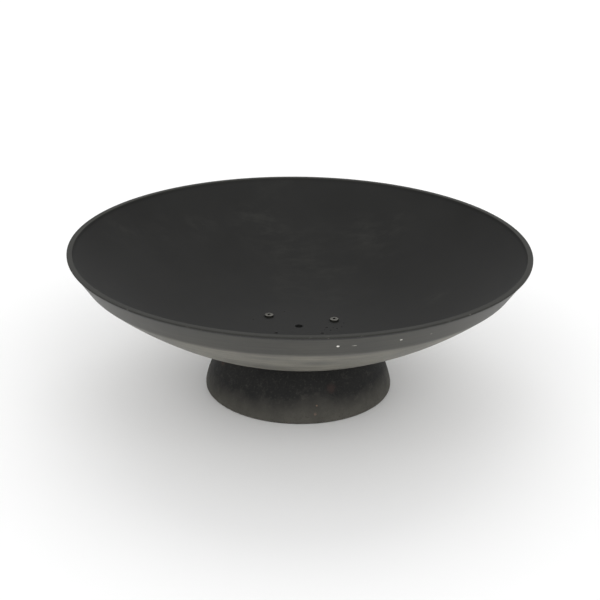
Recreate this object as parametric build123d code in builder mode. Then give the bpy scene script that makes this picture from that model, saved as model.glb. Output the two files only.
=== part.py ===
from build123d import *
import math
import os

# Shallow round fire bowl on a flared hollow foot. Three screws hold the bowl to the flange that
# closes the top of the foot. A small hole in the middle of the bowl lets rain run out.
# Millimetres, +Z up. The origin is on the ground, under the centre of the bowl.

os.makedirs("parts", exist_ok=True)

# Overall sizes
bowl_diameter = 600.0
overall_height = 200.0
foot_height = 77.7
foot_base_diameter = 250.0
foot_top_diameter = 176.0

# Bowl: flat floor, curved side, then a straight steeper band up to the rim. The crease under the
# band shows outside only: inside, the wall goes over it in one long curve. Where the side is short
# and bends tightly, that curve is limited to a share of the side's own radius.
bowl_wall = 5.0
floor_diameter = 150.0
side_slope = 41.0
band_rise = 28.9
band_run = 19.4
crease_rounding = 8.0
inner_crease_rounding = 180.0
most_of_side_rounding = 0.8
rim_thickness = 2.2
rim_overhang = 1.0
rim_rounding = 0.7
drain_diameter = 10.0

# Foot: bowed wall, a flange turned in at its top and a thicker ring at its bottom
foot_wall = 5.0
foot_bow = 5.3
flange_opening = 62.0
ground_ring_width = 11.0
ground_ring_height = 6.0
ground_edge_rounding = 3.5
foot_bend_rounding = 12.0
foot_corner_rounding = 1.5
foot_inner_rounding = 5.0

# Screws, washers and nuts: M6
screw_count = 3
screw_circle = 103.0
first_screw_angle = 22.5
thread_diameter = 6.0
screw_past_nut = 1.8
screw_end_chamfer = 0.8
head_diameter = 12.0
head_height = 3.0
head_rounding = 0.8
socket_across = 4.0
socket_depth = 2.0
screw_clearance = 0.6
washer_diameter = 12.0
washer_thickness = 1.6
washer_clearance = 0.4
spring_washer_diameter = 11.0
spring_washer_thickness = 1.6
spring_washer_clearance = 0.2
spring_washer_gap = 1.2
spring_washer_slant = 20.0
nut_across = 10.0
nut_height = 5.0
nut_bevel_angle = 30.0
nut_land_share = 0.95

# Heights that follow from the sizes above
floor_top = foot_height + bowl_wall
rim_underside = overall_height - rim_thickness
crease_height = rim_underside - band_rise
washer_top = foot_height - foot_wall
spring_washer_top = washer_top - washer_thickness
nut_top = spring_washer_top - spring_washer_thickness
screw_length = floor_top - nut_top + nut_height + screw_past_nut

# Radii that follow from the sizes above
neck_radius = bowl_diameter / 2 - rim_overhang
crease_radius = neck_radius - band_run
band_slope = math.degrees(math.atan2(band_rise, band_run))
rim_width = rim_overhang + bowl_wall / math.sin(math.radians(band_slope))


def arcs_meet(start, end, end_slope):
    """Point where two arcs meet that leave start level and reach end at this slope, with one tangent."""
    level = Vector(1, 0)
    climbing = Vector(math.cos(math.radians(end_slope)), math.sin(math.radians(end_slope)))
    reach = (end - start).dot(level + climbing)
    turn = 1 - level.dot(climbing)
    leg = (math.sqrt(reach**2 + 2 * turn * (end - start).length ** 2) - reach) / (2 * turn)
    return (start + end + (level - climbing) * leg) / 2


floor_edge = Vector(floor_diameter / 2, foot_height)
crease = Vector(crease_radius, crease_height)
haunch_end = arcs_meet(floor_edge, crease, side_slope)


def screw_plane(number, height):
    """Level plane on one screw's axis, at this height, with its X pointing away from the bowl's axis."""
    angle = math.radians(first_screw_angle + number * 360 / screw_count)
    outward = Vector(math.cos(angle), math.sin(angle))
    centre = outward * (screw_circle / 2) + Vector(0, 0, height)
    return Plane(origin=centre, x_dir=outward, z_dir=(0, 0, 1))


# ---- Bowl: one shell, its wall drawn as a section and turned round the middle ----

with BuildPart() as bowl:
    with BuildSketch(Plane.XZ):
        with BuildLine():
            floor_line = Line((0, foot_height), floor_edge)
            haunch_arc = TangentArc(floor_line @ 1, haunch_end, tangent=(1, 0))
            side_arc = TangentArc(haunch_arc @ 1, crease, tangent=haunch_arc % 1)
            # The band runs on past the rim's underside, so that the cut below leaves it level.
            PolarLine(side_arc @ 1, math.hypot(band_run, band_rise) + bowl_wall, band_slope)
            offset(amount=bowl_wall, kind=Kind.INTERSECTION, side=Side.LEFT, closed=True)
        make_face()
        inner_rounding_limit = most_of_side_rounding * (side_arc.radius - bowl_wall)
        inner_rounding = min(inner_crease_rounding, inner_rounding_limit)
        fillet(vertices().sort_by_distance(crease)[1], inner_rounding)
        fillet(vertices().sort_by_distance(crease)[0], crease_rounding)
    revolve(axis=Axis.Z)
    split(bisect_by=Plane.XY.offset(rim_underside), keep=Keep.BOTTOM)
    with BuildSketch(Plane.XZ):
        with Locations((bowl_diameter / 2, rim_underside)):
            Rectangle(rim_width, rim_thickness, align=(Align.MAX, Align.MIN))
        rounded_corners = vertices().group_by(Axis.Y)[-1] + vertices().group_by(Axis.X)[-1]
        fillet(set(rounded_corners), rim_rounding)
    revolve(axis=Axis.Z)
    with Locations(Plane.XY.offset(floor_top)):
        Hole(drain_diameter / 2, depth=bowl_wall)
    for number in range(screw_count):
        with Locations(screw_plane(number, floor_top)):
            Hole((thread_diameter + screw_clearance) / 2, depth=bowl_wall)
bowl.part.label = "bowl"
export_step(bowl.part, "parts/bowl.step")


# ---- Foot: a bowed wall, open at the bottom, with a drilled flange that the bowl's floor lies on ----

with BuildPart() as foot:
    with BuildSketch(Plane.XZ):
        with BuildLine():
            flange_line = Line((flange_opening / 2, foot_height), (foot_top_diameter / 2, foot_height))
            wall_arc = SagittaArc(flange_line @ 1, (foot_base_diameter / 2, ground_ring_height), foot_bow)
            ground_line = Line(wall_arc @ 1, (foot_base_diameter / 2, 0))
            offset(amount=foot_wall, kind=Kind.INTERSECTION, side=Side.RIGHT, closed=True)
        make_face()
        with Locations(ground_line @ 1):
            Rectangle(ground_ring_width, ground_ring_height, align=(Align.MAX, Align.MIN))
        inner_corner = (foot_top_diameter / 2 - foot_wall, washer_top)
        for corner, rounding in (
            (ground_line @ 1, ground_edge_rounding),
            (ground_line @ 0, foot_bend_rounding),
            (flange_line @ 1, foot_corner_rounding),
            (inner_corner, foot_inner_rounding),
        ):
            fillet(vertices().sort_by_distance(corner)[0], rounding)
    revolve(axis=Axis.Z)
    for number in range(screw_count):
        with Locations(screw_plane(number, foot_height)):
            Hole((thread_diameter + screw_clearance) / 2, depth=foot_wall)
foot.part.label = "foot"
export_step(foot.part, "parts/foot.step")


# ---- Screws: low flat cap heads with a hexagon socket, lying on the bowl's floor ----


def make_screw(number):
    seat = screw_plane(number, floor_top)
    with BuildPart() as screw:
        with BuildSketch(seat):
            Circle(thread_diameter / 2)
        extrude(amount=-screw_length)
        chamfer(screw.edges().group_by(Axis.Z)[0], screw_end_chamfer)
        with BuildSketch(seat):
            Circle(head_diameter / 2)
        extrude(amount=head_height)
        fillet(screw.edges().group_by(Axis.Z)[-1], head_rounding)
        with BuildSketch(seat.offset(head_height)):
            RegularPolygon(socket_across / 2, 6, major_radius=False)
        extrude(amount=-socket_depth, mode=Mode.SUBTRACT)
    screw.part.label = f"screw_{number + 1}"
    return screw.part


# ---- Plain washers: under the foot's flange ----


def make_washer(number):
    with BuildPart() as washer:
        with BuildSketch(screw_plane(number, washer_top)):
            Circle(washer_diameter / 2)
            Circle((thread_diameter + washer_clearance) / 2, mode=Mode.SUBTRACT)
        extrude(amount=-washer_thickness)
    washer.part.label = f"washer_{number + 1}"
    return washer.part


# ---- Spring washers: split rings, pressed flat between the plain washer and the nut ----


def make_spring_washer(number):
    top = screw_plane(number, spring_washer_top)
    middle = top.offset(-spring_washer_thickness / 2)
    with BuildPart() as ring:
        with BuildSketch(top):
            Circle(spring_washer_diameter / 2)
            Circle((thread_diameter + spring_washer_clearance) / 2, mode=Mode.SUBTRACT)
        extrude(amount=-spring_washer_thickness)
        # A slanted slit runs from the hole out through one side of the ring.
        with BuildSketch(Plane(origin=middle.origin, x_dir=top.y_dir, z_dir=top.x_dir)):
            Rectangle(spring_washer_gap, 3 * spring_washer_thickness, rotation=spring_washer_slant)
        extrude(amount=spring_washer_diameter, mode=Mode.SUBTRACT)
    ring.part.label = f"spring_washer_{number + 1}"
    return ring.part


# ---- Nuts: six-sided, both ends bevelled ----


def make_nut(number):
    top = screw_plane(number, nut_top)
    corner_radius = nut_across / math.sqrt(3)
    bevel_width = corner_radius - nut_land_share * nut_across / 2
    with BuildPart() as nut:
        with BuildSketch(top):
            Circle(corner_radius)
        extrude(amount=-nut_height)
        bevel_height = bevel_width * math.tan(math.radians(nut_bevel_angle))
        for end in nut.faces().filter_by(GeomType.PLANE):
            chamfer(end.edges(), bevel_width, bevel_height, reference=end)
        with BuildSketch(top):
            RegularPolygon(nut_across / 2, 6, major_radius=False)
        extrude(amount=-nut_height, mode=Mode.INTERSECT)
        with Locations(top):
            Hole(thread_diameter / 2, depth=nut_height)
    nut.part.label = f"nut_{number + 1}"
    return nut.part


for number in range(screw_count):
    for piece in (make_screw(number), make_washer(number), make_spring_washer(number), make_nut(number)):
        export_step(piece, f"parts/{piece.label}.step")
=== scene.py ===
import math

import bpy
from mathutils import Matrix, Vector


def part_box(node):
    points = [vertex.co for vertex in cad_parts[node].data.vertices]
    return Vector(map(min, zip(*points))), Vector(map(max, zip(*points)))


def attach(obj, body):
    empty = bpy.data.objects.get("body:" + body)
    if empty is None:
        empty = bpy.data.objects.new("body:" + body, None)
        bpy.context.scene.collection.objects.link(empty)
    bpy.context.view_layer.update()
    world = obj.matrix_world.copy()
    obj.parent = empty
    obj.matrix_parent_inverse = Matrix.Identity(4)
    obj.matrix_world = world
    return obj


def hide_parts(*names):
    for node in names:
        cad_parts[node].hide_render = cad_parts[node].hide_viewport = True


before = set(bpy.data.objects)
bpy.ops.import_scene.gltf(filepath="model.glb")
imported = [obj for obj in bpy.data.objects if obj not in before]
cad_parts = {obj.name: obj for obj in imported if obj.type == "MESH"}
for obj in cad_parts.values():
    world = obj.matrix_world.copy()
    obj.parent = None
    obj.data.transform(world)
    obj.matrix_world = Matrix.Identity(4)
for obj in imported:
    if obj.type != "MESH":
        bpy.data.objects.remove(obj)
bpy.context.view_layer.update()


# ---- Bowl ----
# One shallow shell of grey iron, 5 mm thick, cast and then turned smooth on the outside.
# It is sprayed with matt black stove paint, thick inside and thin enough outside to let the
# turning marks through. Three screws hold its flat floor down on the foot.

MM = 0.001

bowl_low, bowl_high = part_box("bowl")
bowl_radius = bowl_high.x
rim_top = bowl_high.z
floor_under = bowl_low.z

bowl_wall = 5 * MM
floor_radius = 75 * MM
side_slope = math.radians(41)
band_rise = 28.9 * MM
band_run = 19.4 * MM
crease_cut = 1 * MM
inner_crease_rounding = 180 * MM
rim_thickness = 2.2 * MM
rim_overhang = 1 * MM
rim_rounding = 0.7 * MM
drain_radius = 5 * MM
drain_edge = 0.5 * MM

# Rows of faces along each stretch of the wall, and columns of faces round it.
floor_rows = 7
arc_rows = 24
band_rows = 9
rim_rows = 3
long_arc_rows = 14
around_bowl = 400

floor_top = floor_under + bowl_wall
neck_radius = bowl_radius - rim_overhang
rim_under = rim_top - rim_thickness
crease = Vector((neck_radius - band_run, rim_under - band_rise))
band_slope = math.atan2(band_rise, band_run)

# The screws stand on one circle at even angles, and their holes line up with them.
screw_low, screw_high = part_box("screw_1")
screw_axis = (screw_low + screw_high) / 2
screw_circle = math.hypot(screw_axis.x, screw_axis.y)
first_screw_angle = math.atan2(screw_axis.y, screw_axis.x)
screw_count = 3
screw_hole_radius = 3.3 * MM


def heading(angle):
    """Unit vector in the section's plane that climbs at this angle."""
    return Vector((math.cos(angle), math.sin(angle)))


def arc_to(start, start_angle, end, count):
    """Points with their headings, on the arc that leaves start at this angle and ends at end."""
    chord = end - start
    turn = 2 * (math.atan2(chord.y, chord.x) - start_angle)
    radius = chord.length / (2 * math.sin(turn / 2))
    centre = start + heading(start_angle + math.pi / 2) * radius
    steps = []
    for number in range(1, count + 1):
        angle = start_angle + turn * number / count
        steps.append((centre - heading(angle + math.pi / 2) * radius, angle))
    return steps


def straight(start, end, count):
    """Evenly spaced points from just after start up to end."""
    return [start.lerp(end, number / count) for number in range(1, count + 1)]


def rounded(corner, before, after, radius, count=4):
    """Points that round a corner, from where an arc of this radius would leave its two sides."""
    back, ahead = (before - corner).normalized(), (after - corner).normalized()
    reach = radius / math.tan(back.angle(ahead) / 2)
    start, end = corner + back * reach, corner + ahead * reach
    return [
        start * (1 - t) ** 2 + corner * 2 * t * (1 - t) + end * t**2
        for t in (number / count for number in range(count + 1))
    ]


def bowl_section():
    """The wall's outline: out along the underside, over the rim and back along the inside."""
    # Outside, a level line and two arcs follow each other without a corner, up to the crease.
    floor_edge = Vector((floor_radius, floor_under))
    level, climbing, up_band = heading(0), heading(side_slope), heading(band_slope)
    reach = (crease - floor_edge).dot(level + climbing)
    bend = 1 - level.dot(climbing)
    leg = (math.sqrt(reach**2 + 2 * bend * (crease - floor_edge).length_squared) - reach) / (2 * bend)
    haunch_end = (floor_edge + crease + (level - climbing) * leg) / 2
    haunch = arc_to(floor_edge, 0, haunch_end, arc_rows)
    side = arc_to(haunch_end, haunch[-1][1], crease - climbing * crease_cut, arc_rows)
    curved = [(floor_edge, 0)] + haunch + side
    neck = Vector((neck_radius, rim_under))

    # Inside, one long arc leads from the band's line into the side's arc, so no crease shows there.
    inner_neck = neck - Vector((bowl_wall / math.sin(band_slope), 0))
    side_turn = side_slope - haunch[-1][1]
    side_radius = (crease - haunch_end).length / (2 * math.sin(side_turn / 2))
    side_centre = crease + heading(side_slope + math.pi / 2) * side_radius
    from_side = inner_neck + heading(band_slope + math.pi / 2) * inner_crease_rounding - side_centre
    along = from_side.dot(up_band)
    centres_apart = side_radius - bowl_wall - inner_crease_rounding
    slide = -along - math.sqrt(along**2 - from_side.length_squared + centres_apart**2)
    long_arc_end = inner_neck + up_band * slide
    long_arc_centre = side_centre + from_side + up_band * slide
    outward = (long_arc_centre - side_centre).normalized()
    long_arc_start = side_centre + outward * (side_radius - bowl_wall)
    start_slope = math.atan2(outward.y, outward.x) + math.pi / 2
    long_arc = [(long_arc_start, start_slope)]
    long_arc += arc_to(long_arc_start, start_slope, long_arc_end, long_arc_rows)

    outside = [Vector((drain_radius, floor_under + drain_edge))]
    outside += [Vector((drain_radius + drain_edge, floor_under))]
    outside += straight(outside[-1], floor_edge, floor_rows)
    outside += [point for point, angle in curved[1:]]
    outside += [crease + up_band * crease_cut]
    outside += straight(outside[-1], neck, band_rows)

    outer_rim = Vector((bowl_radius, rim_under))
    outer_top = Vector((bowl_radius, rim_top))
    inner_top = Vector((inner_neck.x, rim_top))
    rim = rounded(outer_rim, neck, outer_top, rim_rounding)
    rim += rounded(outer_top, outer_rim, inner_top, rim_rounding)
    rim += straight(rim[-1], inner_top + Vector((rim_rounding, 0)), rim_rows)[:-1]
    rim += rounded(inner_top, outer_top, inner_neck, rim_rounding)

    # Below the long arc, the inside runs one wall's thickness away from the outside. A point that
    # comes too close to the long arc's start is left out.
    least_turn = 0.01
    inside = [inner_neck] + [point for point, angle in reversed(long_arc)]
    inside += [
        point + heading(angle + math.pi / 2) * bowl_wall
        for point, angle in reversed(curved)
        if angle < start_slope - least_turn
    ]
    inside += straight(inside[-1], Vector((drain_radius + drain_edge, floor_top)), floor_rows)
    inside += [Vector((drain_radius, floor_top - drain_edge)), outside[0]]
    return outside + rim + inside


def linear(colour):
    """Scene-linear RGBA of an sRGB hex colour."""
    parts = [int(colour[at : at + 2], 16) / 255 for at in (0, 2, 4)]
    return [p / 12.92 if p <= 0.04045 else ((p + 0.055) / 1.055) ** 2.4 for p in parts] + [1]


def add_node(tree, kind, settings={}, links={}):
    """Adds a node, sets its properties and inputs by name or number, and links outputs to its inputs."""
    node = tree.nodes.new(kind)
    for name, value in settings.items():
        if isinstance(name, int) or name in node.inputs:
            node.inputs[name].default_value = value
        else:
            setattr(node, name, value)
    for name, source in links.items():
        socket = source if isinstance(source, bpy.types.NodeSocket) else source.outputs[0]
        tree.links.new(socket, node.inputs[name])
    return node


def new_tree(name, sockets):
    """A geometry tree with a geometry in and out and these named inputs."""
    tree = bpy.data.node_groups.new(name, "GeometryNodeTree")
    tree.interface.new_socket("Geometry", in_out="INPUT", socket_type="NodeSocketGeometry")
    tree.interface.new_socket("Geometry", in_out="OUTPUT", socket_type="NodeSocketGeometry")
    for label, kind in sockets:
        tree.interface.new_socket(label, in_out="INPUT", socket_type="NodeSocket" + kind)
    return tree, add_node(tree, "NodeGroupInput").outputs


def from_axis(tree, place):
    """The level part of a place, its distance from the Z axis, and its height."""
    axes = add_node(tree, "ShaderNodeSeparateXYZ", {}, {0: place})
    flat = add_node(tree, "ShaderNodeCombineXYZ", {}, {"X": axes.outputs["X"], "Y": axes.outputs["Y"]})
    radius = add_node(tree, "ShaderNodeVectorMath", {"operation": "LENGTH"}, {0: flat}).outputs["Value"]
    return flat, radius, axes.outputs["Z"]


def turned_tree():
    """Turns a section, given as points in the XZ plane, round the Z axis into a closed skin."""
    tree, given = new_tree("turned", [("Steps", "Int")])
    rows = add_node(tree, "GeometryNodeAttributeDomainSize", {}, {"Geometry": given["Geometry"]})
    columns = add_node(tree, "ShaderNodeMath", {"operation": "ADD", 1: 1}, {0: given["Steps"]})
    grid = add_node(tree, "GeometryNodeMeshGrid", {}, {"Vertices X": rows, "Vertices Y": columns})
    index = add_node(tree, "GeometryNodeInputIndex")
    share = add_node(tree, "ShaderNodeMath", {"operation": "DIVIDE"}, {0: index, 1: columns})
    row = add_node(tree, "ShaderNodeMath", {"operation": "FLOOR"}, {0: share})
    column = add_node(tree, "ShaderNodeMath", {"operation": "MODULO"}, {0: index, 1: columns})
    per_step = add_node(tree, "ShaderNodeMath", {"operation": "DIVIDE", 0: math.tau}, {1: given["Steps"]})
    angle = add_node(tree, "ShaderNodeMath", {"operation": "MULTIPLY"}, {0: column, 1: per_step})
    point = add_node(
        tree,
        "GeometryNodeSampleIndex",
        {"data_type": "FLOAT_VECTOR"},
        {"Geometry": given["Geometry"], "Value": add_node(tree, "GeometryNodeInputPosition"), "Index": row},
    )
    turned = add_node(
        tree, "ShaderNodeVectorRotate", {"rotation_type": "Z_AXIS"}, {"Vector": point, "Angle": angle}
    )
    placed = add_node(tree, "GeometryNodeSetPosition", {}, {"Geometry": grid, "Position": turned})
    closed = add_node(tree, "GeometryNodeMergeByDistance", {"Distance": 0.001 * MM}, {"Geometry": placed})
    add_node(tree, "NodeGroupOutput", {}, {"Geometry": closed})
    return tree


def screw_places(tree, circle, height, first_angle):
    """One point for each screw, on a level circle."""
    corners = add_node(tree, "GeometryNodeMeshCircle", {"Vertices": screw_count}, {"Radius": circle})
    lift = add_node(tree, "ShaderNodeCombineXYZ", {}, {"Z": height})
    spin = add_node(tree, "ShaderNodeCombineXYZ", {}, {"Z": first_angle})
    return add_node(
        tree, "GeometryNodeTransform", {}, {"Geometry": corners, "Translation": lift, "Rotation": spin}
    )


def smoothed(tree, mesh, sharpest):
    """The mesh, shaded smooth, with the edges that bend by more than this angle left sharp."""
    bend = add_node(tree, "GeometryNodeInputMeshEdgeAngle")
    sharp = add_node(tree, "ShaderNodeMath", {"operation": "GREATER_THAN", 1: sharpest}, {0: bend})
    smooth = add_node(tree, "GeometryNodeSetShadeSmooth", {}, {"Geometry": mesh})
    return add_node(
        tree,
        "GeometryNodeSetShadeSmooth",
        {"domain": "EDGE", "Shade Smooth": False},
        {"Geometry": smooth, "Selection": sharp},
    )


def uneven_skin(tree, given, shell):
    """The shell with the low swells of a cast skin, which fade out where it touches something."""
    place = add_node(tree, "GeometryNodeInputPosition")
    _, radius, height = from_axis(tree, place)
    fade = 12 * MM
    masks = []
    for value, limit, way in (
        (radius, given["Still Radius"], 1),
        (height, given["Still Below"], 1),
        (height, given["Still Above"], -1),
    ):
        past = add_node(tree, "ShaderNodeMath", {"operation": "SUBTRACT"}, {0: value, 1: limit})
        masks.append(
            add_node(
                tree,
                "ShaderNodeMapRange",
                {"interpolation_type": "SMOOTHSTEP", "From Min": 0.0, "From Max": fade * way},
                {"Value": past},
            )
        )
    mask = add_node(tree, "ShaderNodeMath", {"operation": "MULTIPLY"}, {0: masks[0], 1: masks[1]})
    mask = add_node(tree, "ShaderNodeMath", {"operation": "MULTIPLY"}, {0: mask, 1: masks[2]})
    scale = add_node(tree, "ShaderNodeMath", {"operation": "DIVIDE", 0: 1}, {1: given["Skin Size"]})
    swells = add_node(
        tree,
        "ShaderNodeTexNoise",
        {"noise_dimensions": "4D", "Detail": 3, "Roughness": 0.55},
        {"Vector": place, "Scale": scale, "W": given["Skin Seed"]},
    )
    noise_middle = 0.5
    centred = add_node(tree, "ShaderNodeMath", {"operation": "SUBTRACT", 1: noise_middle}, {0: swells})
    lift = add_node(tree, "ShaderNodeMath", {"operation": "MULTIPLY"}, {0: centred, 1: given["Skin Height"]})
    lift = add_node(tree, "ShaderNodeMath", {"operation": "MULTIPLY"}, {0: lift, 1: mask})
    normal = add_node(tree, "GeometryNodeInputNormal")
    offset = add_node(tree, "ShaderNodeVectorMath", {"operation": "SCALE"}, {0: normal, "Scale": lift})
    return add_node(tree, "GeometryNodeSetPosition", {}, {"Geometry": shell, "Offset": offset})


def drills_and_pits(tree, given):
    """What is cut from the shell: a drill at each screw's place and a ball at each casting pit."""
    drill = add_node(
        tree, "GeometryNodeMeshCylinder", {"Vertices": 40, "Depth": 20 * MM}, {"Radius": given["Hole Radius"]}
    )
    places = screw_places(tree, given["Hole Circle"], given["Hole Height"], given["First Hole Angle"])
    drills = add_node(tree, "GeometryNodeInstanceOnPoints", {}, {"Points": places, "Instance": drill})
    drills = add_node(tree, "GeometryNodeRealizeInstances", {}, {"Geometry": drills})
    marks = add_node(tree, "GeometryNodeObjectInfo", {}, {"Object": given["Pits"]}).outputs["Geometry"]
    size = add_node(tree, "GeometryNodeInputNamedAttribute", {"data_type": "FLOAT", "Name": "radius"})
    ball = add_node(tree, "GeometryNodeMeshIcoSphere", {"Radius": 1.0, "Subdivisions": 3})
    pits = add_node(
        tree, "GeometryNodeInstanceOnPoints", {}, {"Points": marks, "Instance": ball, "Scale": size}
    )
    pits = add_node(tree, "GeometryNodeRealizeInstances", {}, {"Geometry": pits})
    both = add_node(tree, "GeometryNodeJoinGeometry", {}, {"Geometry": drills})
    tree.links.new(pits.outputs[0], both.inputs["Geometry"])
    return both


def cast_shell_tree(turned):
    """A turned shell with an uneven cast skin and casting pits, drilled for its screws."""
    tree, given = new_tree(
        "cast_shell",
        [
            ("Steps", "Int"),
            ("Skin Height", "Float"),
            ("Skin Size", "Float"),
            ("Skin Seed", "Float"),
            ("Still Radius", "Float"),
            ("Still Below", "Float"),
            ("Still Above", "Float"),
            ("Hole Circle", "Float"),
            ("Hole Radius", "Float"),
            ("Hole Height", "Float"),
            ("First Hole Angle", "Float"),
            ("Pits", "Object"),
            ("Outside", "Material"),
            ("Inside", "Material"),
            ("Inside Below", "Float"),
        ],
    )
    shell = add_node(
        tree,
        "GeometryNodeGroup",
        {"node_tree": turned},
        {"Geometry": given["Geometry"], "Steps": given["Steps"]},
    )
    uneven = uneven_skin(tree, given, shell)
    drilled = add_node(
        tree,
        "GeometryNodeMeshBoolean",
        {"operation": "DIFFERENCE", "solver": "EXACT"},
        {"Mesh 1": uneven, "Mesh 2": drills_and_pits(tree, given)},
    )
    # Upright walls count as inside too, because the holes' walls take the inside's paint.
    past_upright = -0.2
    facing = add_node(tree, "ShaderNodeSeparateXYZ", {}, {0: add_node(tree, "GeometryNodeInputNormal")})
    facing_up = add_node(
        tree, "ShaderNodeMath", {"operation": "GREATER_THAN", 1: past_upright}, {0: facing.outputs["Z"]}
    )
    now_at = add_node(tree, "ShaderNodeSeparateXYZ", {}, {0: add_node(tree, "GeometryNodeInputPosition")})
    below = add_node(
        tree, "ShaderNodeMath", {"operation": "LESS_THAN"}, {0: now_at.outputs["Z"], 1: given["Inside Below"]}
    )
    inner = add_node(tree, "ShaderNodeMath", {"operation": "MULTIPLY"}, {0: facing_up, 1: below})
    edged = smoothed(tree, drilled, math.radians(35))
    whole = add_node(tree, "GeometryNodeRealizeInstances", {}, {"Geometry": edged})
    painted = add_node(tree, "GeometryNodeSetMaterial", {}, {"Geometry": whole, "Material": given["Outside"]})
    painted = add_node(
        tree,
        "GeometryNodeSetMaterial",
        {},
        {"Geometry": painted, "Selection": inner, "Material": given["Inside"]},
    )
    add_node(tree, "NodeGroupOutput", {}, {"Geometry": painted})
    return tree


def pit_marks(pits):
    """A mesh of loose points, one for each pit in this list of x, y, z and radius. Each is lifted by a
    third of its radius, so that a ball there sinks into a level skin by two thirds of its radius."""
    mesh = bpy.data.meshes.new("pit_marks")
    mesh.from_pydata([(x, y, z + radius / 3) for x, y, z, radius in pits], [], [])
    radii = [radius for x, y, z, radius in pits]
    mesh.attributes.new("radius", "FLOAT", "POINT").data.foreach_set("value", radii)
    marks = bpy.data.objects.new("pit_marks", mesh)
    bpy.context.scene.collection.objects.link(marks)
    return marks


def made(name, tree, section, values, pits=()):
    """Runs a geometry tree on a section's points, with these pits cut out of it, and returns an object
    that holds the plain mesh."""
    marks = pit_marks(pits)
    values = {**values, "Pits": marks}
    base = bpy.data.meshes.new(name + "_section")
    base.from_pydata([(point.x, 0, point.y) for point in section], [], [])
    maker = bpy.data.objects.new(name + "_maker", base)
    bpy.context.scene.collection.objects.link(maker)
    modifier = maker.modifiers.new("shape", "NODES")
    modifier.node_group = tree
    for socket in tree.interface.items_tree:
        if socket.in_out == "INPUT" and socket.name in values:
            modifier[socket.identifier] = values[socket.name]
    mesh = bpy.data.meshes.new_from_object(maker.evaluated_get(bpy.context.evaluated_depsgraph_get()))
    maker.modifiers.remove(modifier)
    bpy.data.objects.remove(maker)
    bpy.data.objects.remove(marks)
    mesh.name = name
    piece = bpy.data.objects.new(name, mesh)
    bpy.context.scene.collection.objects.link(piece)
    return piece


def new_material(name):
    """An empty node material with its surface shader and the place on the piece that its patterns read."""
    material = bpy.data.materials.new(name)
    material.use_nodes = True
    tree = material.node_tree
    tree.nodes.clear()
    shader = add_node(tree, "ShaderNodeBsdfPrincipled")
    add_node(tree, "ShaderNodeOutputMaterial", {}, {"Surface": shader})
    place = add_node(tree, "ShaderNodeTexCoord").outputs["Object"]
    return material, tree, shader, place


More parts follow.
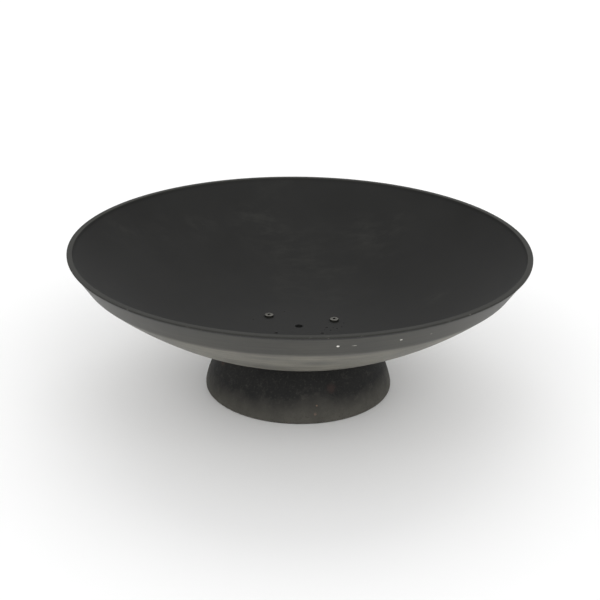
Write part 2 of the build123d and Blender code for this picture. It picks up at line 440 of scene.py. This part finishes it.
def stove_paint_inside():
    """Stove paint, sprayed thick: silicone and iron oxide, dead matt, with a fine gritty skin.
    It gives an even, very dark grey with soft clouds, a few rubbed marks and hardly any gloss."""
    darkest, lightest, rubbed_grey, lip_highlight_grey, bare_iron = "1b1b1a", "212120", "30302d", "2b2b28", "75736d"
    material, tree, shader, place = new_material("stove_paint_sprayed")
    shader.inputs["Specular IOR Level"].default_value = 0.25
    clouds = add_node(tree, "ShaderNodeTexNoise", {"Scale": 1 / (90 * MM), "Detail": 4}, {"Vector": place})
    tone = add_node(tree, "ShaderNodeValToRGB", {}, {"Fac": clouds})
    for stop, position, colour in zip(tone.color_ramp.elements, (0.35, 0.65), (darkest, lightest)):
        stop.position = position
        stop.color = linear(colour)

    # Rubbed marks: faint smears about 40 mm by 15 mm, in chance patches and in three chosen ones.
    smear_scale = (1 / (40 * MM), 1 / (15 * MM), 1 / (15 * MM))
    smear_place = add_node(tree, "ShaderNodeMapping", {"Scale": smear_scale}, {"Vector": place})
    smears = add_node(
        tree, "ShaderNodeTexNoise", {"Scale": 1.0, "Detail": 8, "Roughness": 0.7}, {"Vector": smear_place}
    )
    patches = add_node(tree, "ShaderNodeTexNoise", {"Scale": 1 / (140 * MM), "Detail": 2}, {"Vector": place})
    patch = add_node(tree, "ShaderNodeMapRange", {"From Min": 0.55, "From Max": 0.75}, {"Value": patches})
    for middle, patch_radius in (
        ((135 * MM, 215 * MM, 150 * MM), 45 * MM),
        ((-150 * MM, 205 * MM, 150 * MM), 35 * MM),
        ((183 * MM, 35 * MM, 115 * MM), 26 * MM),
    ):
        away = add_node(tree, "ShaderNodeVectorMath", {"operation": "DISTANCE", 1: middle}, {0: place})
        near = add_node(
            tree,
            "ShaderNodeMapRange",
            {"From Min": patch_radius, "From Max": 0.0},
            {"Value": away.outputs["Value"]},
        )
        patch = add_node(tree, "ShaderNodeMath", {"operation": "MAXIMUM"}, {0: patch, 1: near})
    smear = add_node(
        tree, "ShaderNodeMapRange", {"From Min": 0.45, "From Max": 0.75, "To Max": 0.8}, {"Value": smears}
    )
    rubbed = add_node(tree, "ShaderNodeMath", {"operation": "MULTIPLY"}, {0: patch, 1: smear})
    colour = add_node(
        tree, "ShaderNodeMix", {"data_type": "RGBA", 7: linear(rubbed_grey)}, {0: rubbed, 6: tone}
    ).outputs[2]

    # The lip is handled most. Its top is painted a paler grey, a painted highlight where it faces up, and it
    # is bare in specks along its outer edge.
    _, radius, height = from_axis(tree, place)
    lip_start = rim_under + 0.6 * MM
    on_lip = add_node(tree, "ShaderNodeMath", {"operation": "GREATER_THAN", 1: lip_start}, {0: height})
    colour = add_node(
        tree, "ShaderNodeMix", {"data_type": "RGBA", 7: linear(lip_highlight_grey)}, {0: on_lip, 6: colour}
    ).outputs[2]
    wear_start = neck_radius - 2 * MM
    edge = add_node(
        tree, "ShaderNodeMapRange", {"From Min": wear_start, "From Max": bowl_radius}, {"Value": radius}
    )
    wear = add_node(
        tree, "ShaderNodeTexNoise", {"Scale": 1 / (9 * MM), "Detail": 6, "Roughness": 0.75}, {"Vector": place}
    )
    specks = add_node(tree, "ShaderNodeMapRange", {"From Min": 0.61, "From Max": 0.75}, {"Value": wear})
    worn = add_node(tree, "ShaderNodeMath", {"operation": "MULTIPLY"}, {0: edge, 1: specks})
    colour = add_node(
        tree, "ShaderNodeMix", {"data_type": "RGBA", 7: linear(bare_iron)}, {0: worn, 6: colour}
    ).outputs[2]

    roughness = add_node(tree, "ShaderNodeMapRange", {"To Min": 0.7, "To Max": 0.85}, {"Value": clouds})
    # Real grit is about 0.3 mm. It is drawn at 1.6 mm so that it shows at all.
    grit = add_node(tree, "ShaderNodeTexNoise", {"Scale": 1 / (1.6 * MM), "Detail": 4}, {"Vector": place})
    bump = add_node(tree, "ShaderNodeBump", {"Strength": 0.35, "Distance": 0.25 * MM}, {"Height": grit})
    tree.links.new(colour, shader.inputs["Base Color"])
    tree.links.new(roughness.outputs[0], shader.inputs["Roughness"])
    tree.links.new(bump.outputs[0], shader.inputs["Normal"])
    return material


def stove_paint_turned():
    """Stove paint, thin over turned iron: half matt, with the tool's rings showing through it.
    It gives a dark grey that mirrors pale ground softly at a low angle, in fine level streaks. Its greys
    are partly a painted reflection of the pale ground, and the band is a shade darker, partly as two-tone
    paint. A painted shade darkens the corner under the lip, and a few chips are bare."""
    darkest, lightest, band_grey, painted_lip_shade = "504f49", "79766b", "2a2a27", "131312"
    material, tree, shader, place = new_material("stove_paint_turned")
    flat, radius, height = from_axis(tree, place)

    # Level stains, about 60 mm long and 12 mm high, with ragged edges.
    stain_scale = (1 / (60 * MM), 1 / (60 * MM), 1 / (12 * MM))
    stain_place = add_node(tree, "ShaderNodeMapping", {"Scale": stain_scale}, {"Vector": place})
    stains = add_node(
        tree, "ShaderNodeTexNoise", {"Scale": 1.0, "Detail": 8, "Roughness": 0.66}, {"Vector": stain_place}
    )
    # Tool rings run up the wall and drift slowly round it. Real ones are about 0.5 mm apart. They are
    # drawn 1.5 mm apart so that they show.
    ring_spacing = 1.5 * MM
    reach = add_node(tree, "ShaderNodeMath", {"operation": "ADD"}, {0: radius, 1: height})
    across = add_node(tree, "ShaderNodeMath", {"operation": "DIVIDE", 1: ring_spacing}, {0: reach})
    around = add_node(tree, "ShaderNodeVectorMath", {"operation": "SCALE", "Scale": 1 / (70 * MM)}, {0: flat})
    drift = add_node(tree, "ShaderNodeSeparateXYZ", {}, {0: around}).outputs
    ring_place = add_node(tree, "ShaderNodeCombineXYZ", {}, {"X": drift["X"], "Y": drift["Y"], "Z": across})
    rings = add_node(
        tree, "ShaderNodeTexNoise", {"Scale": 1.0, "Detail": 3, "Roughness": 0.6}, {"Vector": ring_place}
    )
    both = add_node(tree, "ShaderNodeMath", {"operation": "ADD"}, {0: rings, 1: stains})
    mean = add_node(tree, "ShaderNodeMath", {"operation": "MULTIPLY", 1: 1 / 2}, {0: both})
    # The wall's greys are set pale partly as a painted reflection of the pale ground below the bowl.
    tone = add_node(tree, "ShaderNodeValToRGB", {}, {"Fac": mean})
    for stop, position, colour in zip(tone.color_ramp.elements, (0.41, 0.6), (darkest, lightest)):
        stop.position = position
        stop.color = linear(colour)

    # The band is mixed a shade darker, partly two-tone paint and partly painted shade, as it faces less of
    # the pale ground than the wall below.
    band_start, band_full = crease.y - 6 * MM, crease.y + 3 * MM
    on_band = add_node(
        tree,
        "ShaderNodeMapRange",
        {"interpolation_type": "SMOOTHSTEP", "From Min": band_start, "From Max": band_full, "To Max": 0.85},
        {"Value": height},
    )
    colour = add_node(
        tree, "ShaderNodeMix", {"data_type": "RGBA", 7: linear(band_grey)}, {0: on_band, 6: tone}
    ).outputs[2]
    # Painted shade in the corner under the lip's overhang, about 2 mm high, with a ragged lower edge.
    corner_start, corner_fade, corner_fray = rim_under - 2.0 * MM, 0.8 * MM, 1.2 * MM
    ragged = add_node(
        tree, "ShaderNodeMath", {"operation": "MULTIPLY_ADD", 1: corner_fray}, {0: stains, 2: height}
    )
    under_lip_shade = add_node(
        tree,
        "ShaderNodeMapRange",
        {"From Min": corner_start, "From Max": corner_start + corner_fade},
        {"Value": ragged},
    )
    colour = add_node(
        tree, "ShaderNodeMix", {"data_type": "RGBA", 7: linear(painted_lip_shade)}, {0: under_lip_shade, 6: colour}
    ).outputs[2]

    # Chips on the band: degrees round the bowl, how high, how long, how tall and the colour bared.
    frayed = add_node(tree, "ShaderNodeTexNoise", {"Scale": 1 / (1.5 * MM), "Detail": 3}, {"Vector": place})
    chip_limit = 1.45
    for azimuth, chip_height, length, tallness, bared in (
        (-81.4, 184.2 * MM, 3.8 * MM, 2.6 * MM, "cfcdc6"),
        (-77.7, 183.6 * MM, 6.5 * MM, 1.1 * MM, "94928b"),
        (-66.8, 184 * MM, 3.2 * MM, 2.0 * MM, "c5c3bc"),
        (-59.0, 183.8 * MM, 2.4 * MM, 1.2 * MM, "94928b"),
        (24.0, 179 * MM, 4.0 * MM, 1.6 * MM, "b5b3ac"),
        (118.0, 188 * MM, 2.6 * MM, 2.0 * MM, "b5b3ac"),
        (201.0, 181 * MM, 3.2 * MM, 1.4 * MM, "b5b3ac"),
    ):
        angle = math.radians(azimuth)
        chip_radius = neck_radius - (rim_under - chip_height) / math.tan(band_slope)
        middle = (chip_radius * math.cos(angle), chip_radius * math.sin(angle), chip_height)
        size = (length, length / 2, tallness / 2)
        from_middle = add_node(
            tree,
            "ShaderNodeMapping",
            {"vector_type": "TEXTURE", "Location": middle, "Rotation": (0, 0, angle), "Scale": size},
            {"Vector": place},
        )
        away = add_node(tree, "ShaderNodeVectorMath", {"operation": "LENGTH"}, {0: from_middle})
        ragged = add_node(
            tree, "ShaderNodeMath", {"operation": "ADD"}, {0: away.outputs["Value"], 1: frayed}
        )
        chip = add_node(tree, "ShaderNodeMath", {"operation": "LESS_THAN", 1: chip_limit}, {0: ragged})
        colour = add_node(
            tree, "ShaderNodeMix", {"data_type": "RGBA", 7: linear(bared)}, {0: chip, 6: colour}
        ).outputs[2]

    roughness = add_node(tree, "ShaderNodeMapRange", {"To Min": 0.38, "To Max": 0.58}, {"Value": stains})
    bump = add_node(tree, "ShaderNodeBump", {"Strength": 0.25, "Distance": 0.15 * MM}, {"Height": rings})
    tree.links.new(colour, shader.inputs["Base Color"])
    tree.links.new(roughness.outputs[0], shader.inputs["Roughness"])
    tree.links.new(bump.outputs[0], shader.inputs["Normal"])
    return material


turned = turned_tree()
cast_shell = cast_shell_tree(turned)
# Casting pits in the floor: two large ones left and right in front of the drain, a group of small
# ones near one screw, and two more farther back.
bowl_pits = [
    (-30 * MM, -24 * MM, floor_top, 2.6 * MM),
    (31 * MM, -23 * MM, floor_top, 2.3 * MM),
    (37 * MM, -4 * MM, floor_top, 1.7 * MM),
    (42 * MM, -13 * MM, floor_top, 1.2 * MM),
    (51 * MM, -7 * MM, floor_top, 1.4 * MM),
    (34 * MM, -12 * MM, floor_top, 1.1 * MM),
    (46 * MM, -3 * MM, floor_top, 1.0 * MM),
    (57 * MM, -1 * MM, floor_top, 1.2 * MM),
    (60 * MM, 12 * MM, floor_top, 1.0 * MM),
    (-62 * MM, 20 * MM, floor_top, 1.2 * MM),
    (-20 * MM, 48 * MM, floor_top, 1.1 * MM),
]
holes = {
    "Hole Circle": screw_circle,
    "Hole Radius": screw_hole_radius,
    "First Hole Angle": first_screw_angle,
}

bowl = made(
    "bowl_shell",
    cast_shell,
    bowl_section(),
    {
        "Steps": around_bowl,
        "Skin Height": 0.5 * MM,
        "Skin Size": 90 * MM,
        "Skin Seed": 3.0,
        "Still Radius": floor_radius,
        "Still Below": 0.0,
        "Still Above": rim_under,
        "Hole Height": floor_under + bowl_wall / 2,
        "Outside": stove_paint_turned(),
        "Inside": stove_paint_inside(),
        "Inside Below": rim_top + MM,
        **holes,
    },
    bowl_pits,
)
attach(bowl, "root")
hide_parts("bowl")


# ---- Foot ----
# A hollow flared ring of the same iron, left as it came out of the sand, so its skin is rough.
# Its top is turned in as a flange that the bowl's floor is screwed to, and its bottom edge is
# thickened to a flat ring that stands on the ground.

foot_low, foot_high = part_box("foot")
foot_base_radius = foot_high.x
foot_top = foot_high.z
foot_wall = 5 * MM
foot_top_radius = 88 * MM
foot_bow = 5.3 * MM
flange_radius = 31 * MM
ring_width = 11 * MM
ring_height = 6 * MM
shoulder_rounding = 1.5 * MM
ground_edge_rounding = 3.5 * MM
ring_rounding = 1 * MM
inner_rounding = 1.5 * MM
# The flange stays true this far out, past the edges of the washers under it.
true_flange_radius = 61 * MM

flange_rows = 14
foot_wall_rows = 40
ground_edge_rows = 6
flange_under_rows = 12
around_foot = 480


def foot_section():
    """The wall's outline: out along the flange, down the outside, in along the ground and up the inside."""
    shoulder = Vector((foot_top_radius, foot_top))
    bend = Vector((foot_base_radius, foot_low.z + ring_height))
    chord = bend - shoulder
    half_turn = 2 * math.atan2(2 * foot_bow, chord.length)
    start_angle = math.atan2(chord.y, chord.x) + half_turn
    wall = arc_to(shoulder, start_angle, bend, foot_wall_rows)
    ground_outer = Vector((foot_base_radius, foot_low.z))
    ring_inner = Vector((foot_base_radius - ring_width, foot_low.z))
    ring_top = Vector((ring_inner.x, foot_low.z + ring_height))
    flange_under = Vector((flange_radius, foot_top - foot_wall))

    # The inside runs one wall's thickness in, and stops below the flange to leave its corner room.
    corner_rise, corner_run = 4 * MM, 3 * MM
    offset_wall = [
        point + heading(angle - math.pi / 2) * foot_wall for point, angle in [(shoulder, start_angle)] + wall
    ]
    inside_wall = [point for point in reversed(offset_wall) if point.y < flange_under.y - corner_rise]
    inner_corner = Vector((inside_wall[-1].x - corner_run, flange_under.y))

    # The first two points of the outside, below the shoulder, and of the inside, above the ring, give
    # way to the roundings there.
    flange_end = shoulder - Vector((2 * MM, 0))
    outline = [Vector((flange_radius, foot_top))]
    outline += straight(outline[0], flange_end, flange_rows)
    outline += rounded(shoulder, flange_end, wall[2][0], shoulder_rounding)
    outline += [point for point, angle in wall[2:]]
    outline += rounded(ground_outer, bend, ring_inner, ground_edge_rounding, ground_edge_rows)
    outline += rounded(ring_inner, ground_outer, ring_top, ring_rounding)
    outline += rounded(ring_top, ring_inner, inside_wall[2], ring_rounding)
    outline += inside_wall[2:]
    outline += rounded(inner_corner, inside_wall[-1], flange_under, inner_rounding)
    outline += straight(outline[-1], flange_under, flange_under_rows)
    return outline + outline[:1]


def sand_cast_paint():
    """Stove paint over the raw skin of grey iron cast in sand: fine grains, and larger swells in the skin.
    It gives a broken, dull dark grey, painted paler low down as light thrown up from the floor, with bare
    grains and a few specks of rust."""
    darkest, lightest, bounce_pale, bare_grey, scuff_grey = "0f0f0f", "191918", "4c4a44", "34332f", "53514b"
    material, tree, shader, place = new_material("stove_paint_sand_cast")
    shader.inputs["Specular IOR Level"].default_value = 0.28
    clouds = add_node(
        tree, "ShaderNodeTexNoise", {"Scale": 1 / (40 * MM), "Detail": 6, "Roughness": 0.6}, {"Vector": place}
    )
    # Real sand is about 0.5 mm. It is drawn at 2.5 mm so that it shows.
    grain = add_node(
        tree,
        "ShaderNodeTexNoise",
        {"Scale": 1 / (2.5 * MM), "Detail": 5, "Roughness": 0.7},
        {"Vector": place},
    )
    tone = add_node(tree, "ShaderNodeValToRGB", {}, {"Fac": clouds})
    for stop, position, colour in zip(tone.color_ramp.elements, (0.3, 0.7), (darkest, lightest)):
        stop.position = position
        stop.color = linear(colour)

    # The lowest part, up to about 34 mm where the wall spreads, is painted paler: painted light thrown up
    # from the floor. Its edge is uneven.
    bounce_top, bounce_full, bounce_spread = 14 * MM, -20 * MM, 40 * MM
    height = add_node(tree, "ShaderNodeSeparateXYZ", {}, {0: place}).outputs["Z"]
    uneven = add_node(
        tree, "ShaderNodeMath", {"operation": "MULTIPLY_ADD", 1: -bounce_spread}, {0: clouds, 2: height}
    )
    bounce_lit = add_node(
        tree, "ShaderNodeMapRange", {"From Min": bounce_top, "From Max": bounce_full}, {"Value": uneven}
    )
    colour = add_node(
        tree, "ShaderNodeMix", {"data_type": "RGBA", 7: linear(bounce_pale)}, {0: bounce_lit, 6: tone}
    ).outputs[2]
    bare = add_node(
        tree, "ShaderNodeMapRange", {"From Min": 0.52, "From Max": 0.7, "To Max": 0.8}, {"Value": grain}
    )
    colour = add_node(
        tree, "ShaderNodeMix", {"data_type": "RGBA", 7: linear(bare_grey)}, {0: bare, 6: colour}
    ).outputs[2]
    # Scuffs: ragged paler patches about 12 mm across, where the skin's high spots were rubbed.
    scuffs = add_node(
        tree,
        "ShaderNodeTexNoise",
        {"Scale": 1 / (12 * MM), "Detail": 8, "Roughness": 0.75},
        {"Vector": place},
    )
    scuffed = add_node(
        tree, "ShaderNodeMapRange", {"From Min": 0.55, "From Max": 0.72, "To Max": 0.35}, {"Value": scuffs}
    )
    colour = add_node(
        tree, "ShaderNodeMix", {"data_type": "RGBA", 7: linear(scuff_grey)}, {0: scuffed, 6: colour}
    ).outputs[2]

    # Rust has come through in a few spots: degrees round the foot, how far out, how high, how wide
    # and its colour.
    fray = add_node(tree, "ShaderNodeTexNoise", {"Scale": 1 / (2 * MM), "Detail": 4}, {"Vector": place})
    for azimuth, spot_radius, spot_height, width, rust in (
        (-78.5, 120 * MM, 24 * MM, 2.4 * MM, "75604f"),
        (-79.5, 124 * MM, 14 * MM, 4 * MM, "67564a"),
        (-68, 112 * MM, 42 * MM, 12 * MM, "2e2320"),
        (35, 117 * MM, 30 * MM, 4 * MM, "6f5242"),
        (140, 122 * MM, 18 * MM, 6 * MM, "5e4436"),
        (205, 109 * MM, 48 * MM, 8 * MM, "33261f"),
    ):
        angle = math.radians(azimuth)
        middle = (spot_radius * math.cos(angle), spot_radius * math.sin(angle), spot_height)
        away = add_node(tree, "ShaderNodeVectorMath", {"operation": "DISTANCE", 1: middle}, {0: place})
        share = add_node(
            tree, "ShaderNodeMath", {"operation": "DIVIDE", 1: width}, {0: away.outputs["Value"]}
        )
        ragged = add_node(tree, "ShaderNodeMath", {"operation": "ADD"}, {0: share, 1: fray})
        rusty = add_node(
            tree, "ShaderNodeMapRange", {"From Min": 1.15, "From Max": 0.75, "To Max": 0.8}, {"Value": ragged}
        )
        colour = add_node(
            tree, "ShaderNodeMix", {"data_type": "RGBA", 7: linear(rust)}, {0: rusty, 6: colour}
        ).outputs[2]

    roughness = add_node(tree, "ShaderNodeMapRange", {"To Min": 0.6, "To Max": 0.9}, {"Value": grain})
    bump = add_node(tree, "ShaderNodeBump", {"Strength": 0.8, "Distance": 0.5 * MM}, {"Height": grain})
    tree.links.new(colour, shader.inputs["Base Color"])
    tree.links.new(roughness.outputs[0], shader.inputs["Roughness"])
    tree.links.new(bump.outputs[0], shader.inputs["Normal"])
    return material


foot_paint = sand_cast_paint()
# Four gas bubbles, closed inside the wall: they reach neither of its skins.
bubble_circle = 114 * MM
bubble_height = 30 * MM
bubble_radius = 1.6 * MM
foot_bubbles = [
    (bubble_circle * math.cos(angle), bubble_circle * math.sin(angle), bubble_height, bubble_radius)
    for angle in (0.6, 2.7, 4.1, 5.2)
]
foot = made(
    "foot_casting",
    cast_shell,
    foot_section(),
    {
        "Steps": around_foot,
        "Skin Height": 0.9 * MM,
        "Skin Size": 7 * MM,
        "Skin Seed": 8.0,
        "Still Radius": true_flange_radius,
        "Still Below": foot_low.z + 1 * MM,
        "Still Above": foot_top - 0.5 * MM,
        "Hole Height": foot_top - foot_wall / 2,
        "Outside": foot_paint,
        "Inside": foot_paint,
        "Inside Below": foot_top,
        **holes,
    },
    foot_bubbles,
)
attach(foot, "root")
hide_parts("foot")


# ---- Screws ----
# Three M6 steel screws with low flat heads, put in from above and tightened with a hexagon key. The
# heads lie on the bowl's floor, and the rolled threads come out below the foot's flange.

head_radius = (screw_high.x - screw_low.x) / 2
head_top = screw_high.z - floor_top
screw_end = screw_low.z - floor_top
head_rounding = 0.8 * MM
thread_radius = 3 * MM
thread_pitch = 1 * MM
thread_depth = 0.55 * MM
thread_start = -3 * MM
screw_end_chamfer = 0.8 * MM
socket_across = 4 * MM
socket_depth = 2 * MM

shank_rows = 160
head_edge_rows = 6
around_screw = 36


def screw_section():
    """Half the screw's outline, from the middle of its end up to the middle of its head's top."""
    chamfer_end = Vector((thread_radius - screw_end_chamfer, screw_end))
    shank_end = Vector((thread_radius, screw_end + screw_end_chamfer))
    seat = Vector((thread_radius, 0))
    head_edge = Vector((head_radius, 0))
    head_corner = Vector((head_radius, head_top))
    head_middle = Vector((0, head_top))
    outline = [Vector((0, screw_end)), chamfer_end, shank_end]
    outline += straight(shank_end, seat, shank_rows) + [head_edge]
    outline += rounded(head_corner, head_edge, head_middle, head_rounding, head_edge_rows)
    return outline + [head_middle]


def screws_tree(turned):
    """Turned screws with a thread and a hexagon socket, standing on a circle."""
    tree, given = new_tree(
        "screws",
        [
            ("Steps", "Int"),
            ("Thread Start", "Float"),
            ("Pitch", "Float"),
            ("Thread Depth", "Float"),
            ("Socket Radius", "Float"),
            ("Socket Depth", "Float"),
            ("Head Top", "Float"),
            ("Circle", "Float"),
            ("First Angle", "Float"),
            ("Height", "Float"),
            ("Steel", "Material"),
        ],
    )
    blank = add_node(
        tree,
        "GeometryNodeGroup",
        {"node_tree": turned},
        {"Geometry": given["Geometry"], "Steps": given["Steps"]},
    )
    # The thread is a wave down the shank that moves on by one pitch for each turn round it.
    place = add_node(tree, "GeometryNodeInputPosition")
    axes = add_node(tree, "ShaderNodeSeparateXYZ", {}, {0: place}).outputs
    angle = add_node(tree, "ShaderNodeMath", {"operation": "ARCTAN2"}, {0: axes["Y"], 1: axes["X"]})
    share = add_node(tree, "ShaderNodeMath", {"operation": "DIVIDE", 1: math.tau}, {0: angle})
    turns = add_node(tree, "ShaderNodeMath", {"operation": "DIVIDE"}, {0: axes["Z"], 1: given["Pitch"]})
    phase = add_node(tree, "ShaderNodeMath", {"operation": "SUBTRACT"}, {0: turns, 1: share})
    wave_top = 0.5
    wave = add_node(tree, "ShaderNodeMath", {"operation": "PINGPONG", 1: wave_top}, {0: phase})
    groove = add_node(tree, "ShaderNodeMath", {"operation": "MULTIPLY"}, {0: wave, 1: given["Thread Depth"]})
    inwards = add_node(tree, "ShaderNodeMath", {"operation": "MULTIPLY", 1: -1 / wave_top}, {0: groove})
    flat = add_node(tree, "ShaderNodeCombineXYZ", {}, {"X": axes["X"], "Y": axes["Y"]})
    outward = add_node(tree, "ShaderNodeVectorMath", {"operation": "NORMALIZE"}, {0: flat})
    cut = add_node(tree, "ShaderNodeVectorMath", {"operation": "SCALE"}, {0: outward, "Scale": inwards})
    on_thread = add_node(
        tree, "ShaderNodeMath", {"operation": "LESS_THAN"}, {0: axes["Z"], 1: given["Thread Start"]}
    )
    threaded = add_node(
        tree, "GeometryNodeSetPosition", {}, {"Geometry": blank, "Selection": on_thread, "Offset": cut}
    )
    # Half of the key is above the head's top and half is in it, so it is twice the socket's depth.
    key_length = add_node(
        tree, "ShaderNodeMath", {"operation": "MULTIPLY", 1: 2.0}, {0: given["Socket Depth"]}
    )
    key = add_node(
        tree,
        "GeometryNodeMeshCylinder",
        {"Vertices": 6},
        {"Radius": given["Socket Radius"], "Depth": key_length},
    )
    key_place = add_node(tree, "ShaderNodeCombineXYZ", {}, {"Z": given["Head Top"]})
    key = add_node(tree, "GeometryNodeTransform", {}, {"Geometry": key, "Translation": key_place})
    screw = add_node(
        tree,
        "GeometryNodeMeshBoolean",
        {"operation": "DIFFERENCE", "solver": "EXACT"},
        {"Mesh 1": threaded, "Mesh 2": key},
    )
    edged = smoothed(tree, screw, math.radians(40))
    # No two screws stop at the same angle.
    stop = add_node(
        tree,
        "FunctionNodeRandomValue",
        {"data_type": "FLOAT_VECTOR", 0: (0, 0, 0), 1: (0, 0, math.tau), "Seed": 5},
    )
    places = screw_places(tree, given["Circle"], given["Height"], given["First Angle"])
    screws = add_node(
        tree,
        "GeometryNodeInstanceOnPoints",
        {},
        {"Points": places, "Instance": edged, "Rotation": stop.outputs["Value"]},
    )
    whole = add_node(tree, "GeometryNodeRealizeInstances", {}, {"Geometry": screws})
    finished = add_node(tree, "GeometryNodeSetMaterial", {}, {"Geometry": whole, "Material": given["Steel"]})
    add_node(tree, "NodeGroupOutput", {}, {"Geometry": finished})
    return tree


def steel(name, dark, light, dullest, brightest):
    """Steel with a thin coat: metallic, between two colours and two roughnesses, in 3 mm blotches."""
    material, tree, shader, place = new_material(name)
    shader.inputs["Metallic"].default_value = 1
    clouds = add_node(tree, "ShaderNodeTexNoise", {"Scale": 1 / (3 * MM), "Detail": 5}, {"Vector": place})
    tone = add_node(tree, "ShaderNodeValToRGB", {}, {"Fac": clouds})
    for stop, position, colour in zip(tone.color_ramp.elements, (0.35, 0.65), (dark, light)):
        stop.position = position
        stop.color = linear(colour)
    roughness = add_node(
        tree, "ShaderNodeMapRange", {"To Min": dullest, "To Max": brightest}, {"Value": clouds}
    )
    # The coat's fine grain, drawn at 0.4 mm.
    grain = add_node(
        tree, "ShaderNodeTexNoise", {"Scale": 1 / (0.4 * MM), "Detail": 3}, {"Vector": place}
    )
    bump = add_node(tree, "ShaderNodeBump", {"Strength": 0.15, "Distance": 0.05 * MM}, {"Height": grain})
    tree.links.new(tone.outputs[0], shader.inputs["Base Color"])
    tree.links.new(roughness.outputs[0], shader.inputs["Roughness"])
    tree.links.new(bump.outputs[0], shader.inputs["Normal"])
    return material


screws = made(
    "flat_head_screws",
    screws_tree(turned),
    screw_section(),
    {
        "Steps": around_screw,
        "Thread Start": thread_start,
        "Pitch": thread_pitch,
        "Thread Depth": thread_depth,
        "Socket Radius": socket_across / math.sqrt(3),
        "Socket Depth": socket_depth,
        "Head Top": head_top,
        "Circle": screw_circle,
        "First Angle": first_screw_angle,
        "Height": floor_top,
        # Plain steel, dulled by handling. It gives a mid grey with a broad soft gleam.
        "Steel": steel("dull_plain_steel", "4c4b47", "605f5a", 0.55, 0.4),
    },
)
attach(screws, "root")
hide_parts("screw_1", "screw_2", "screw_3")


# ---- Washers, spring washers and nuts ----
# Under the foot's flange each screw carries a flat washer, a split spring washer and a nut. The
# washers and nuts are zinc-plated, and the spring washers are phosphated. They keep their CAD shape.

# Zinc plate gives a pale bluish grey with a soft shine, a little duller on the nuts. Phosphate
# gives a dull, nearly black grey.
fastener_finishes = {
    "washer": steel("zinc_plate", "9a9ca0", "bdbfc2", 0.42, 0.28),
    "nut": steel("zinc_plate_on_nut", "96989b", "b6b8bb", 0.45, 0.3),
    "spring_washer": steel("phosphated_spring_steel", "35352f", "4b4a44", 0.6, 0.45),
}
for kind, finish in fastener_finishes.items():
    for number in range(1, screw_count + 1):
        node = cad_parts[f"{kind}_{number}"]
        node.data.materials.clear()
        node.data.materials.append(finish)


# ---- Studio ----
# A wide pale floor, an even pale sky and three broad soft lights. The camera stands 1.5 m in front
# of the bowl and looks down on it at 22 degrees.

floor_reach = 40.0
floor_mesh = bpy.data.meshes.new("floor")
floor_mesh.from_pydata(
    [(x * floor_reach, y * floor_reach, 0) for x, y in ((-1, -1), (1, -1), (1, 1), (-1, 1))],
    [],
    [(0, 1, 2, 3)],
)
floor = bpy.data.objects.new("floor", floor_mesh)
bpy.context.scene.collection.objects.link(floor)
floor_paint, _, floor_shader, _ = new_material("pale_floor")
floor_shader.inputs["Base Color"].default_value = linear("f4f4f4")
floor_shader.inputs["Roughness"].default_value = 0.9
floor_mesh.materials.append(floor_paint)

sky = bpy.data.worlds.new("sky")
sky.use_nodes = True
sky.node_tree.nodes["Background"].inputs["Color"].default_value = (1, 1, 1, 1)
sky.node_tree.nodes["Background"].inputs["Strength"].default_value = 0.75
bpy.context.scene.world = sky

# Each light is 60 degrees wide. They stand low, so that they reach in under the bowl.
light_width = math.radians(60)
for name, azimuth, elevation, strength in (
    ("front_left_light", 235, 28, 0.8),
    ("front_right_light", 305, 28, 0.95),
    ("rear_light", 90, 40, 0.9),
):
    light = bpy.data.lights.new(name, "SUN")
    light.energy = strength
    light.angle = light_width
    lamp = bpy.data.objects.new(name, light)
    across, up = math.radians(azimuth), math.radians(elevation)
    towards = Vector((math.cos(up) * math.cos(across), math.cos(up) * math.sin(across), math.sin(up)))
    lamp.rotation_euler = towards.to_track_quat("Z", "Y").to_euler()
    bpy.context.scene.collection.objects.link(lamp)

camera_data = bpy.data.cameras.new("camera")
camera_data.lens = 75.6
camera_data.sensor_width = 36
camera_data.clip_end = 120
camera = bpy.data.objects.new("camera", camera_data)
bpy.context.scene.collection.objects.link(camera)
camera_place = Vector((0.0009, -1.5458, 0.7582))
camera_target = Vector((0.0009, 0, 0.1203))
camera_roll = math.radians(0.8)
look = (camera_target - camera_place).to_track_quat("-Z", "Y").to_matrix().to_4x4()
camera.matrix_world = Matrix.Translation(camera_place) @ look @ Matrix.Rotation(camera_roll, 4, "Z")
bpy.context.scene.camera = camera
bpy.context.scene.view_settings.view_transform = "Standard"
